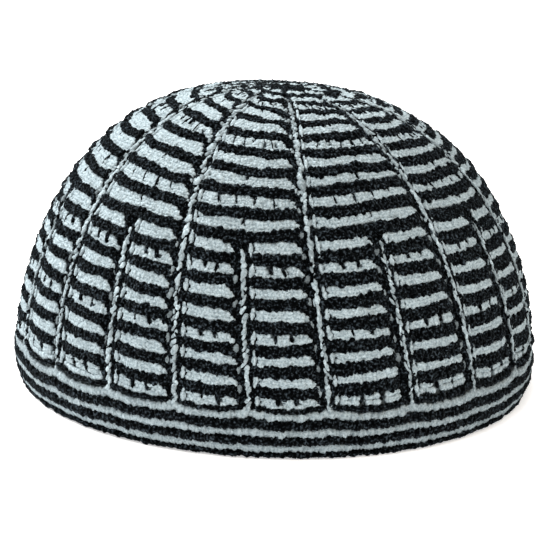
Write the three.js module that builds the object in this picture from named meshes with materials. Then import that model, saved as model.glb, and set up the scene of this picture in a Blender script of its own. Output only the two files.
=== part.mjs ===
import * as THREE from "three";

// Knitted kufi: a hollow dome of ribbed panels on a striped border band.
// Millimetres, +Z up, the front faces -Y and the hem rests on z = 0.

// Overall sizes
const FULL_RADIUS = 90; // outer radius where the cap is fullest
const FULL_LEVEL = 10.5; // height of that fullest line above the hem
const HEM_RADIUS = 87.2; // outer radius at the hem, drawn in a little
const CAP_HEIGHT = 101.5; // hem to the top of the dome
const SIDE_FULLNESS = 2.63; // exponent of the dome's curve, measured across
const TOP_FULLNESS = 1.8; // exponent of the dome's curve, measured upwards
const WALL = 3.2; // thickness of the knitted cloth
const HEM_ROUND = 0.8; // rounding of the hem's two edges
const TOP_TILT = 0.06; // rise of the soft top for each millimetre towards its higher side
const TILT_TOWARDS = -20; // degrees round from the front of that side

// Border band
const BAND_HEIGHT = 16; // hem to the top of the last border stripe
const BAND_STRIPES = 6; // dark and pale stripes, turn about
const STRIPE_WELT = 0.6; // how far each stripe swells out of the groove beside it
const BAND_GAP = 0.3; // clear gap between the band and the crown

// Panels and ribs
const FULL_RIBS = 11; // ribs that run from the band to the top
const LOW_PANELS = 2 * FULL_RIBS; // a short rib halves every panel lower down
const SEEN_RIBS = [-70.5, -52.8, -36, -20, -4.6, 11.8, 30, 47.2, 64.8]; // degrees round from the front
const FRONT_RIB = 5; // place in that list of the full rib nearest the front
const PANEL_LEAN = 6.4; // degrees by which the ribs lean to the left between the band and the top
const SHORT_RIB_TOP = 66; // height where the short ribs have died away
const SHORT_RIB_FADE = 9; // height over which they die away
const APEX_GATHER = 24; // radius inside which the relief closes up at the top
const EDGE_RELIEF = 0.5; // share of the relief left where the crown meets the band

// Fineness of the crown from the band to the top
const OUTER_ROWS = 16; // rings of facets outside
const INNER_ROWS = 8; // rings of facets inside

// One panel, from its rib to the next: the share of the panel's width, how deep the surface lies under
// the padded middle, how far the rows ride up there, and which rib it belongs to (0 its own, 1 the next)
const PANEL_SECTION = [
  { share: 0.0, sunk: 0.1, lift: 0.9, rib: 0 }, // rib
  { share: 0.12, sunk: 0.9, lift: 0.5, rib: 0 }, // groove beside the rib
  { share: 0.45, sunk: 0.0, lift: 0.0, rib: null }, // padded middle
  { share: 0.78, sunk: 0.3, lift: 0.15, rib: null }, // end of the padding
  { share: 0.91, sunk: 1.6, lift: 0.6, rib: 1 }, // dark channel before the next rib
];

const COLOURS = {
  crown: 0x2a2f33,
  band: 0x8f9da3,
};

// Degrees of the ribs in turn from the full rib nearest the front, round the cap and back to it.
// The ribs out of sight at the back are spaced evenly.
function ribAngles() {
  const after = SEEN_RIBS.slice(FRONT_RIB);
  const before = SEEN_RIBS.slice(0, FRONT_RIB + 1).map((angle) => angle + 360);
  const hidden = LOW_PANELS + 1 - after.length - before.length;
  const last = after[after.length - 1];
  const step = (before[0] - last) / (hidden + 1);
  const between = Array.from({ length: hidden }, (_, index) => last + step * (index + 1));
  return [...after, ...between, ...before];
}

const RIB_ANGLES = ribAngles();

// Angle round the cap of a place counted in low panels, with 0 on a full rib
function panelAngle(panels) {
  const rib = Math.floor(panels);
  const wide = RIB_ANGLES[rib + 1] - RIB_ANGLES[rib];
  return ((RIB_ANGLES[rib] + (panels - rib) * wide) * Math.PI) / 180;
}

// Columns of facets: every place of the panel section in every low panel
function panelColumns() {
  const columns = [];
  for (let panel = 0; panel < LOW_PANELS; panel += 1) {
    PANEL_SECTION.forEach((place) => {
      const angle = panelAngle(panel + place.share);
      const onShortRib = place.rib !== null && (panel + place.rib) % 2 === 1;
      columns.push({ angle, sunk: place.sunk, lift: place.lift, onShortRib });
    });
  }
  return columns;
}

const COLUMNS = panelColumns();

function smoothStep(low, high, value) {
  const t = Math.min(Math.max((value - low) / (high - low), 0), 1);
  return t * t * (3 - 2 * t);
}

// Outer radius at a height in the band's zone, below and just above the fullest line
function sideRadius(level) {
  if (level < FULL_LEVEL) {
    return FULL_RADIUS - (FULL_RADIUS - HEM_RADIUS) * (1 - level / FULL_LEVEL) ** 2;
  }
  const rise = (level - FULL_LEVEL) / (CAP_HEIGHT - FULL_LEVEL);
  return FULL_RADIUS * (1 - rise ** TOP_FULLNESS) ** (1 / SIDE_FULLNESS);
}

// Point of the dome's curve at a turn from 0 at the fullest line to a right angle at the top
function domePoint(turn, inset) {
  const across = Math.max(Math.cos(turn), 0) ** (2 / SIDE_FULLNESS);
  const up = Math.sin(turn) ** (2 / TOP_FULLNESS);
  const radius = (FULL_RADIUS - inset) * across;
  return { radius, level: FULL_LEVEL + (CAP_HEIGHT - inset - FULL_LEVEL) * up };
}

// Turn at which the dome's curve passes a height
function domeTurn(level, inset) {
  const rise = (level - FULL_LEVEL) / (CAP_HEIGHT - inset - FULL_LEVEL);
  return Math.asin(rise ** (TOP_FULLNESS / 2));
}

// Angle of a column at a height, with the lean of the ribs
function columnAngle(column, level) {
  const rise = Math.max(level - BAND_HEIGHT, 0) / (CAP_HEIGHT - BAND_HEIGHT);
  return column.angle - ((PANEL_LEAN * Math.PI) / 180) * rise;
}

// Place on the cap, with the tilt of the top that grows from nothing at the hem
function pointAt(radius, angle, level) {
  const towards = radius * Math.cos(angle - (TILT_TOWARDS * Math.PI) / 180);
  const tilt = TOP_TILT * towards * (level / CAP_HEIGHT) ** 4;
  return new THREE.Vector3(radius * Math.sin(angle), -radius * Math.cos(angle), level + tilt);
}

// Depth of the panel relief on one column at a height and radius
function reliefAt(column, level, radius) {
  const dying = smoothStep(SHORT_RIB_TOP - SHORT_RIB_FADE, SHORT_RIB_TOP, level);
  const kept = column.onShortRib ? 1 - dying : 1;
  return column.sunk * kept * smoothStep(0, APEX_GATHER, radius);
}

// Closed body from rings of points that run up the outside and down the inside.
// A ring of one point is an apex, and the last ring joins back to the first.
function bodyFromRings(rings) {
  const positions = [];
  const starts = rings.map((ring) => {
    const start = positions.length / 3;
    ring.forEach((point) => positions.push(point.x, point.y, point.z));
    return start;
  });
  const at = (ring, column) => starts[ring] + (rings[ring].length === 1 ? 0 : column % rings[ring].length);
  const faces = [];
  rings.forEach((ring, low) => {
    const high = (low + 1) % rings.length;
    const count = Math.max(ring.length, rings[high].length);
    for (let column = 0; column < count; column += 1) {
      if (ring.length > 1) {
        faces.push(at(low, column), at(low, column + 1), at(high, column + 1));
      }
      if (rings[high].length > 1) {
        faces.push(at(low, column), at(high, column + 1), at(high, column));
      }
    }
  });
  const geometry = new THREE.BufferGeometry();
  geometry.setAttribute("position", new THREE.Float32BufferAttribute(positions, 3));
  geometry.setIndex(faces);
  geometry.computeVertexNormals();
  return geometry;
}

function borderBand() {
  const ring = (radius, level, lifted) =>
    COLUMNS.map((column) => pointAt(radius, column.angle, level + (lifted ? column.lift : 0)));
  const rings = [];
  rings.push(ring(sideRadius(0) - HEM_ROUND, 0, false));
  const stripe = BAND_HEIGHT / BAND_STRIPES;
  for (let index = 0; index < BAND_STRIPES; index += 1) {
    const crest = (index + 0.5) * stripe;
    const groove = (index + 1) * stripe;
    rings.push(ring(sideRadius(crest), crest, false));
    rings.push(ring(sideRadius(groove) - STRIPE_WELT, groove, index === BAND_STRIPES - 1));
  }
  rings.push(ring(sideRadius(BAND_HEIGHT) - WALL, BAND_HEIGHT, true));
  rings.push(ring(sideRadius(FULL_LEVEL) - WALL, FULL_LEVEL, false));
  rings.push(ring(sideRadius(stripe) - WALL, stripe, false));
  rings.push(ring(sideRadius(0) - WALL + HEM_ROUND / 2, 0, false));
  return bodyFromRings(rings);
}

function crown() {
  const edge = BAND_HEIGHT + BAND_GAP;
  const outerStart = domeTurn(edge, 0);
  const innerStart = domeTurn(edge, WALL);
  const rowLift = (column, step, steps) => column.lift * (1 - step / steps) ** 2;
  const rings = [];
  for (let step = 0; step < OUTER_ROWS; step += 1) {
    const place = domePoint(outerStart + ((Math.PI / 2 - outerStart) * step) / OUTER_ROWS, 0);
    rings.push(COLUMNS.map((column) => {
      const share = step === 0 ? EDGE_RELIEF : 1;
      const radius = place.radius - share * reliefAt(column, place.level, place.radius);
      const angle = columnAngle(column, place.level);
      return pointAt(radius, angle, place.level + rowLift(column, step, OUTER_ROWS));
    }));
  }
  rings.push([new THREE.Vector3(0, 0, CAP_HEIGHT)]);
  rings.push([new THREE.Vector3(0, 0, CAP_HEIGHT - WALL)]);
  for (let step = INNER_ROWS - 1; step >= 0; step -= 1) {
    const place = domePoint(innerStart + ((Math.PI / 2 - innerStart) * step) / INNER_ROWS, WALL);
    rings.push(COLUMNS.map((column) => {
      const angle = columnAngle(column, place.level);
      return pointAt(place.radius, angle, place.level + rowLift(column, step, INNER_ROWS));
    }));
  }
  return bodyFromRings(rings);
}

function knitted(name, geometry, colour) {
  const material = new THREE.MeshStandardMaterial({ color: colour, roughness: 0.95, metalness: 0 });
  const mesh = new THREE.Mesh(geometry, material);
  mesh.name = name;
  return mesh;
}

const kufi = new THREE.Group();
kufi.name = "kufi";
kufi.add(knitted("border_band", borderBand(), COLOURS.band));
kufi.add(knitted("crown", crown(), COLOURS.crown));

export default kufi;
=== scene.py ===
"""Knitted kufi in two chenille yarns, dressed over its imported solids.

Sizes are in millimetres, as in the part's source, and become metres where a mesh is made. A place on
the cap is given by its panel, counted round from the full rib nearest the front, and by its length along
the cloth from the hem.
"""

import logging
import math
from collections.abc import Callable
from dataclasses import dataclass, field
from enum import Enum
from functools import cached_property
from typing import Any

import bpy
import numpy as np
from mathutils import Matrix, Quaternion


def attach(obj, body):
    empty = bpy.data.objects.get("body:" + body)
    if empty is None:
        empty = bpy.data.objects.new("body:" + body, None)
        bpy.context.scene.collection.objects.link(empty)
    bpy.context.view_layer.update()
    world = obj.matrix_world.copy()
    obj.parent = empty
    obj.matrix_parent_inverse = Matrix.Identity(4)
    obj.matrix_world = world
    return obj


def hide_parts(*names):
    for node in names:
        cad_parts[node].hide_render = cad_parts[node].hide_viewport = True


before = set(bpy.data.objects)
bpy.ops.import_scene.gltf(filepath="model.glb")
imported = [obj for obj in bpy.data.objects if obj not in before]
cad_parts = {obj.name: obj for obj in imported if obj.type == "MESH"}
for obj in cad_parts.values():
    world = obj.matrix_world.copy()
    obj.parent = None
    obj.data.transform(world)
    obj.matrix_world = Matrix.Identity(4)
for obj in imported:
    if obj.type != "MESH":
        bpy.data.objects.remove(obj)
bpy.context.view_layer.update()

MM = 0.001
BODY = "root"
SEED = 20

Array = np.ndarray
Numbers = Array | float
Pair = tuple[float, float]
Triple = tuple[float, float, float]
Item = bpy.types.Object
Material = bpy.types.Material
log = logging.getLogger("kufi")


class Yarn(Enum):
    """The two chenille yarns."""

    DARK = "dark_yarn"
    PALE = "pale_yarn"

    @property
    def word(self) -> str:
        """Word for the yarn in the names of pieces."""
        return self.name.lower()


class Figure(Enum):
    """How the bars of a pale row are worked."""

    PLAIN = "plain"
    NOTCHED = "notched"
    SPLIT = "split"
    SPLIT_NOTCHED = "split and notched"


def smooth_step(low: Numbers, high: Numbers, value: Numbers) -> Array:
    """Ease from 0 at one value to 1 at another."""
    t = np.clip((np.asarray(value, float) - low) / (high - low), 0.0, 1.0)
    return t * t * (3.0 - 2.0 * t)


@dataclass(frozen=True)
class Table:
    """Values at a few rising places."""

    places: tuple[float, ...]
    values: tuple[float, ...]

    def straight(self, at: Numbers) -> Array:
        """Read the table with straight lines between its entries."""
        return np.interp(at, self.places, self.values)

    def eased(self, at: Array) -> Array:
        """Read the table with a smooth swell between its entries.

        Args:
            at: Places to read.

        Returns:
            One value for each place.
        """
        places, values = np.array(self.places), np.array(self.values)
        index = np.clip(np.searchsorted(places, at, side="right") - 1, 0, len(places) - 2)
        swell = smooth_step(places[index], places[index + 1], at)
        return values[index] + (values[index + 1] - values[index]) * swell


@dataclass(frozen=True)
class ClothLine:
    """Line up one face of the cloth, from the hem to the top."""

    length: Array
    radius: Array
    level: Array

    @property
    def total(self) -> float:
        """Length from the hem to the top."""
        return float(self.length[-1])

    @cached_property
    def slopes(self) -> tuple[Array, Array]:
        """Outward and upward slope at each point of the line."""
        return np.gradient(self.radius, self.length), np.gradient(self.level, self.length)

    def at(self, along: Numbers) -> tuple[Array, Array, Array, Array]:
        """Find places on the line.

        Args:
            along: Lengths from the hem.

        Returns:
            Radius, level, and the outward and upward parts of the line's direction.
        """
        rows = (self.radius, self.level, *self.slopes)
        radius, level, run, rise = (np.interp(along, self.length, row) for row in rows)
        size = np.hypot(run, rise)
        return radius, level, run / size, rise / size


@dataclass(frozen=True)
class Spots:
    """Places on the cloth with their three directions, one row each."""

    place: Array
    across: Array
    up: Array
    out: Array


@dataclass(frozen=True)
class CapForm:
    """True shape of the cap, with the values of the part's source."""

    full_radius: float = 90.0
    full_level: float = 10.5
    hem_radius: float = 87.2
    height: float = 101.5
    side_fullness: float = 2.63
    top_fullness: float = 1.8
    wall: float = 3.2
    top_tilt: float = 0.06
    tilt_towards: float = -20.0
    band_height: float = 16.0
    band_gap: float = 0.3
    low_panels: int = 22
    seen_ribs: tuple[float, ...] = (-70.5, -52.8, -36.0, -20.0, -4.6, 11.8, 30.0, 47.2, 64.8)
    front_rib: int = 5
    panel_lean: float = 6.4
    short_rib_fade: Pair = (57.0, 66.0)
    apex_gather: float = 24.0
    relief_start: Pair = (14.0, 22.0)
    section: Table = Table((0.0, 0.12, 0.45, 0.78, 0.91, 1.0), (0.1, 0.9, 0.0, 0.3, 1.6, 0.1))
    section_middle: float = 0.45
    side_steps: int = 60
    dome_steps: int = 3000

    @cached_property
    def outer(self) -> ClothLine:
        """Line up the outside of the cloth."""
        return self.cloth_line(0.0)

    @cached_property
    def inner(self) -> ClothLine:
        """Line up the inside of the cloth."""
        return self.cloth_line(self.wall)

    @cached_property
    def rib_angles(self) -> Array:
        """List the ribs in turn from the full rib nearest the front, round the cap and back to it.

        Returns:
            Degrees from the front, with the ribs out of sight spaced evenly.
        """
        after = np.array(self.seen_ribs[self.front_rib:])
        before = np.array(self.seen_ribs[:self.front_rib + 1]) + 360.0
        hidden = self.low_panels + 1 - len(after) - len(before)
        between = np.linspace(after[-1], before[0], hidden + 2)[1:-1]
        return np.concatenate((after, between, before))

    def cloth_line(self, inset: float) -> ClothLine:
        """Trace the cap's side and dome at a depth in the cloth.

        Args:
            inset: Depth under the outer face.

        Returns:
            Line from the hem to the top.
        """
        low = np.linspace(0.0, self.full_level, self.side_steps, endpoint=False)
        drawn = (self.full_radius - self.hem_radius) * (1.0 - low / self.full_level) ** 2
        turn = np.linspace(0.0, math.pi / 2.0, self.dome_steps)
        across = np.maximum(np.cos(turn), 0.0) ** (2.0 / self.side_fullness)
        up = np.sin(turn) ** (2.0 / self.top_fullness)
        dome_level = self.full_level + (self.height - inset - self.full_level) * up
        radius = np.concatenate((self.full_radius - inset - drawn, (self.full_radius - inset) * across))
        level = np.concatenate((low, dome_level))
        steps = np.hypot(np.diff(radius), np.diff(level))
        return ClothLine(np.concatenate(([0.0], np.cumsum(steps))), radius, level)

    def all_round(self, count: int) -> Array:
        """Even places round the cap, counted in low panels."""
        return np.arange(count) * self.low_panels / count

    def panel_angle(self, panel: Numbers, level: Numbers = 0.0) -> Array:
        """Find the angle round the cap of a place counted in low panels, as in the part's source.

        Args:
            panel: Places round the cap.
            level: Their levels, which lean the ribs.

        Returns:
            Angles from the front, rising to the right.
        """
        turns = np.floor(np.asarray(panel, float) / self.low_panels)
        ribs = np.arange(self.low_panels + 1)
        degrees = np.interp(panel - turns * self.low_panels, ribs, self.rib_angles) + 360.0 * turns
        rise = np.maximum(np.asarray(level) - self.band_height, 0.0) / (self.height - self.band_height)
        return np.radians(degrees - self.panel_lean * rise)

    def relief(self, panel: Array, radius: Array, level: Array) -> Array:
        """Depth of the panels' relief, with the short ribs dying away upwards.

        Args:
            panel: Places counted in low panels.
            radius: Radius of the plain dome there.
            level: Level of the plain dome there.

        Returns:
            Depth under the padded middle of a panel.
        """
        share = panel % 1.0
        rib = np.floor(panel) + (share > self.section_middle)
        kept = np.where(rib % 2 == 1, 1.0 - smooth_step(*self.short_rib_fade, level), 1.0)
        crown = smooth_step(*self.relief_start, level)
        return self.section.eased(share) * kept * crown * smooth_step(0.0, self.apex_gather, radius)

    def places(self, radius: Numbers, angle: Array, level: Numbers) -> Array:
        """Find places on the cap, with the tilt of its soft top.

        Args:
            radius: Distances from the axis.
            angle: Angles from the front.
            level: Levels before the tilt.

        Returns:
            One place for each angle.
        """
        towards = radius * np.cos(angle - math.radians(self.tilt_towards))
        tilt = self.top_tilt * towards * (level / self.height) ** 4
        return np.stack((radius * np.sin(angle), -radius * np.cos(angle), level + tilt), -1)

    def spots(self, panel: Array, along: Numbers, depth: Numbers) -> Spots:
        """Find places on the outside of the cap.

        Args:
            panel: Places round the cap, counted in low panels.
            along: Lengths from the hem.
            depth: Depths under the face of the relief.

        Returns:
            The places and their directions.
        """
        radius, level, run, rise = self.outer.at(np.broadcast_to(along, panel.shape))
        angle = self.panel_angle(panel, level)
        sine, cosine = np.sin(angle), np.cos(angle)
        reach = radius - self.relief(panel, radius, level) - depth * rise
        return Spots(
            self.places(reach, angle, level + depth * run),
            np.stack((cosine, sine, np.zeros_like(angle)), -1),
            np.stack((run * sine, -run * cosine, rise), -1),
            np.stack((rise * sine, -rise * cosine, -run), -1),
        )


@dataclass(frozen=True)
class PanelLayout:
    """Places across a panel where it is wide; a narrow panel shrinks them, and so do the upper rows."""

    line: float = 1.4
    tick: float = 2.65
    bar_start: float = 4.1
    bar_end: float = 4.5
    bar_point: float = 3.2
    point_courses: float = 2.0
    bar_taper: float = 2.2
    dot: float = 2.7
    edge: float = 0.8
    wide: float = 18.0
    narrowest: float = 0.05
    narrowing: float = 1.5
    plain_below: float = 0.4
    least: float = 0.2
    gathered: float = 0.74
    gather_along: Pair = (55.0, 88.0)

    def gather(self, along: float) -> float:
        """Share of their size that the places keep at a length along the cloth."""
        return 1.0 - (1.0 - self.gathered) * float(smooth_step(*self.gather_along, along))


@dataclass(frozen=True)
class PanelSpan:
    """One panel at one length along the cloth, between two ribs."""

    first: int
    ribs: int
    width: float
    scale: float

    def panel(self, across: Array) -> Array:
        """Turn millimetres from the rib into a place counted in low panels."""
        return self.first + self.ribs * np.asarray(across, float) / self.width


@dataclass(frozen=True)
class Course:
    """One line of stitches: its middle along the cloth, its height and its number in the stripe."""

    middle: float
    height: float
    number: int


@dataclass(frozen=True)
class Stripe:
    """Courses of one yarn between two lengths along the cloth."""

    yarn: Yarn
    start: float
    end: float
    row: int

    @property
    def middle(self) -> float:
        """Length along the cloth of the stripe's middle."""
        return (self.start + self.end) / 2.0

    @property
    def height(self) -> float:
        """Height of the stripe along the cloth."""
        return self.end - self.start

    @property
    def is_pale(self) -> bool:
        """Whether the stripe is of the pale yarn."""
        return self.yarn is Yarn.PALE

    def courses(self, height: float) -> list[Course]:
        """Share the stripe out into courses.

        Args:
            height: About how high a course is.

        Returns:
            The courses from the lowest up.
        """
        count = max(1, round(self.height / height))
        step = self.height / count
        return [Course(self.start + (i + 0.5) * step, step, i) for i in range(count)]

    def grown(self, amount: float) -> "Stripe":
        """The stripe where the pale yarn takes this much more on either side, and the dark yarn less."""
        more = amount if self.is_pale else -amount
        return Stripe(self.yarn, self.start - more, self.end + more, self.row)


@dataclass(frozen=True)
class Opening:
    """Dark stitch in a bar: its share of the bar's length, its reach down the bar, and its width."""

    share: float
    reach: float
    width: float


@dataclass(frozen=True)
class Chart:
    """Order of stripes and figures from the hem to the top."""

    band_top: float = 16.3
    band_stripes: int = 6
    first_pale: float = 19.2
    pitch: float = 6.6
    pitch_growth: float = 0.105
    pale_share: float = 0.49
    share_growth: float = 0.0092
    pale_rows: int = 18
    low_rows: int = 8
    notch_every: int = 3
    notch_reach: float = 0.8
    low_notch: float = 1.8
    high_notch: float = 1.2
    low_shares: tuple[float, ...] = (1 / 3, 2 / 3)
    high_shares: tuple[float, ...] = (1 / 5, 2 / 5, 3 / 5, 4 / 5)
    split_shares: tuple[float, ...] = (1 / 6, 1 / 3, 2 / 3, 5 / 6)
    split_width: float = 1.2
    split_reach: float = 0.6
    split_step: float = 0.7

    def border(self) -> list[Stripe]:
        """Stripes of the border, dark at the hem and pale at the top."""
        step = self.band_top / self.band_stripes
        return [Stripe(tuple(Yarn)[i % 2], i * step, (i + 1) * step, i) for i in range(self.band_stripes)]

    def pale_row(self, row: int) -> Stripe:
        """Place a pale row.

        Args:
            row: Number of the row, from 1 above the border.

        Returns:
            Its stripe.
        """
        step = row - 1
        middle = self.first_pale + self.pitch * step + self.pitch_growth * step * (step - 1) / 2.0
        share = self.pale_share + self.share_growth * step
        half = share * (self.pitch + self.pitch_growth * step) / 2.0
        return Stripe(Yarn.PALE, middle - half, middle + half, row)

    def crown(self, top: float) -> list[Stripe]:
        """Stripes of the crown.

        Args:
            top: Length along the cloth at the top of the cap.

        Returns:
            Dark and pale stripes, turn about, from the border upwards.
        """
        stripes = []
        start = self.band_top
        for pale in map(self.pale_row, range(1, self.pale_rows + 1)):
            stripes += [Stripe(Yarn.DARK, start, pale.start, pale.row - 1), pale]
            start = pale.end
        return [*stripes, Stripe(Yarn.DARK, start, top, self.pale_rows)]

    def figure(self, row: int) -> Figure:
        """Figure of a pale row.

        Args:
            row: Number of the row.

        Returns:
            How its bars are worked.
        """
        notched = row % self.notch_every == 1
        if row > self.low_rows and row % 2 == 1:
            return Figure.SPLIT_NOTCHED if notched else Figure.SPLIT
        return Figure.NOTCHED if notched else Figure.PLAIN

    def openings(self, row: int) -> list[Opening]:
        """Places along a bar where the dark yarn shows.

        Args:
            row: Pale row of the bar.

        Returns:
            The openings of one bar.
        """
        low = row <= self.low_rows
        figure = self.figure(row)
        shares = {
            Figure.NOTCHED: self.low_shares if low else self.high_shares,
            Figure.SPLIT_NOTCHED: self.split_shares,
        }
        width = self.low_notch if low else self.high_notch
        notches = [Opening(share, self.notch_reach, width) for share in shares.get(figure, ())]
        if figure in (Figure.SPLIT, Figure.SPLIT_NOTCHED):
            return [Opening(0.5, self.split_reach, self.split_width), *notches]
        return notches

    def step_down(self, row: int) -> float:
        """How far the far half of a bar lies below its near half."""
        return self.split_step if self.figure(row) in (Figure.SPLIT, Figure.SPLIT_NOTCHED) else 0.0

    @staticmethod
    def stripe_at(stripes: list[Stripe], along: float) -> Stripe | None:
        """Find the stripe at a length along the cloth."""
        return next((stripe for stripe in stripes if stripe.start <= along < stripe.end), None)


@dataclass(frozen=True)
class Gauge:
    """Sizes of the stitches, and how the courses wander from the level."""

    pitch: float = 1.16
    brick_shift: float = 0.29
    pale_course: float = 1.25
    dark_course: float = 1.48
    across_overlap: float = 2.0
    up_overlap: float = 1.9
    dark_overlap: float = 1.7
    pale_depth: float = 0.9
    dark_depth: float = 0.75
    dark_swell: float = 0.8
    swell_share: Table = Table((15.0, 50.0, 75.0, 95.0, 115.0), (0.5, 0.7, 1.0, 1.0, 0.25))
    swell_edge: float = 5.0
    swell_side: float = 0.35
    loft: float = 0.7
    loft_along: Pair = (102.0, 126.0)
    notch_depth: float = 0.7
    lean: float = 6.0
    lean_spread: float = 13.0
    shift: float = 0.22
    depth_shift: float = 0.132
    size_spread: float = 0.13
    pale_looseness: float = 0.5
    shade_spread: float = 0.09
    scallop: Table = Table((0.0, 0.12, 0.34, 0.62, 0.86, 1.0), (1.0, 0.45, 0.0, 0.05, 0.4, 1.0))
    scallop_lift: Table = Table(
        (0.0, 4.0, 9.5, 14.5, 17.0, 20.0, 26.0, 157.0), (0.0, 0.15, 0.4, 1.3, 1.7, 0.7, 0.25, 0.25)
    )
    side_lift: float = 3.2
    side_lift_centre: float = -4.0
    side_lift_reach: float = 50.0
    side_lift_share: Table = Table(
        (0.0, 9.0, 15.0, 20.0, 33.0, 60.0, 75.0, 115.0, 155.0),
        (0.0, -0.15, -0.2, 0.82, 1.0, 1.0, 1.2, 1.2, 0.0),
    )
    side_growth: float = 0.38
    top_slant: float = 7.5
    slant_towards: float = -5.0
    slant_share: Table = Table((75.0, 110.0, 133.0, 148.0, 155.0), (0.0, 0.55, 1.0, 0.3, 0.0))
    wave: float = 0.19
    waves: tuple[Pair, ...] = ((9.0, 5.0), (17.0, -3.3))
    wave_along: Pair = (2.0, 25.0)
    top_wave: float = 1.8
    top_wave_along: Pair = (100.0, 140.0)


@dataclass(frozen=True)
class Stitch:
    """Size and set of one kind of stitch.

    The depth is that of its middle under the face of the cloth. Without a lean of its own, the legs lean
    turn about. Looseness 1 is the usual unevenness.
    """

    width: float
    length: Numbers
    depth: Numbers
    thick: float = 1.65
    lean: float | None = None
    shade: float = 1.0
    looseness: float = 1.0


def link(item: Item) -> Item:
    """Put an object in the scene."""
    bpy.context.scene.collection.objects.link(item)
    return item


def add_layer(mesh: bpy.types.Mesh, name: str, values: Array) -> None:
    """Keep one number or vector for each point of a mesh.

    Args:
        mesh: Mesh that the values belong to.
        name: Name of their attribute.
        values: One value or row of three for each point.
    """
    kind, key = ("FLOAT", "value") if values.ndim == 1 else ("FLOAT_VECTOR", "vector")
    layer = mesh.attributes.new(name, kind, "POINT")
    layer.data.foreach_set(key, np.ascontiguousarray(values, np.float32).ravel())


def read_all(rows: Any, name: str, width: int = 1, kind: type = np.float32) -> Array:
    """Read one property of every row of a mesh's data.

    Args:
        rows: Points, faces, corners or an attribute's rows.
        name: Property to read.
        width: Numbers that each row has.
        kind: Type of number.

    Returns:
        All the numbers in one line.
    """
    values = np.empty(len(rows) * width, kind)
    rows.foreach_get(name, values)
    return values


@dataclass
class StitchBatch:
    """Stitches of one yarn that are made into one piece."""

    name: str
    yarn: Yarn
    columns: dict[str, list[Array]] = field(default_factory=dict)

    def lay(self, spots: Spots, size: Array, lean: Array, shade: Array) -> None:
        """Add stitches.

        Args:
            spots: Their places and directions.
            size: Half width, half length and half thickness of each.
            lean: Turn of each about the outward direction, in radians.
            shade: Brightness of each.
        """
        up = spots.up * np.cos(lean)[:, None] + spots.across * np.sin(lean)[:, None]
        rows = {"place": spots.place, "out": spots.out, "up": up, "size": size * MM, "shade": shade}
        for key, values in rows.items():
            self.columns.setdefault(key, []).append(values)

    def __len__(self) -> int:
        """Number of stitches."""
        return sum(map(len, self.columns["shade"]))

    def seeds(self) -> Item:
        """Make an object with one loose point for each stitch.

        Returns:
            Object whose points carry the directions, sizes and shades.
        """
        rows = {key: np.concatenate(values) for key, values in self.columns.items()}
        mesh = bpy.data.meshes.new(self.name)
        mesh.from_pydata((rows.pop("place") * MM).tolist(), [], [])
        for key, values in rows.items():
            add_layer(mesh, key, values)
        return link(bpy.data.objects.new(self.name, mesh))


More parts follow.
